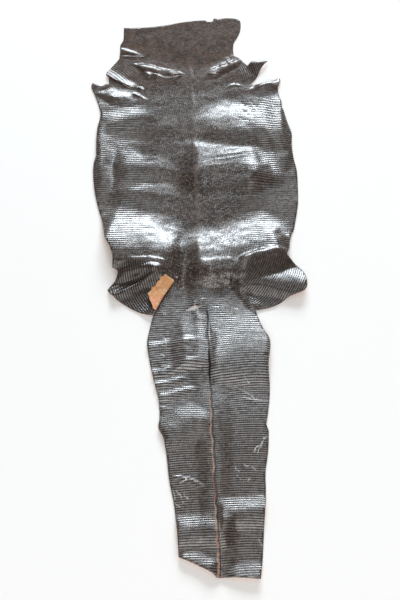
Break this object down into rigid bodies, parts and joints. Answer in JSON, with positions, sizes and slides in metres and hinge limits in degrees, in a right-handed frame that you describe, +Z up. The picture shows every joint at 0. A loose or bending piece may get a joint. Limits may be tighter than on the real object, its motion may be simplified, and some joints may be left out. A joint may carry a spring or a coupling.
{
  "type": "lizard hide leather",
  "caption": "Whole tanned lizard hide, opened along the belly and lying flat with its grain side up, with leg flaps and tail, uneven edges and low folds.",
  "frame": {"origin": "bottom centre of the hide's box, on the surface that the hide lies on", "axes": "+Y along the spine towards the head, +X to the right of the hide seen from above, +Z up out of the grain side"},
  "size_m": [0.3254, 0.9672, 0.0224],
  "materials": {
    "glazed_leather": "dark brown glazed grain with small scales in rows, satin to glossy, tan flesh side"
  },
  "bodies": {
    "root": {"hide": "glazed_leather"}
  },
  "joints": []
}
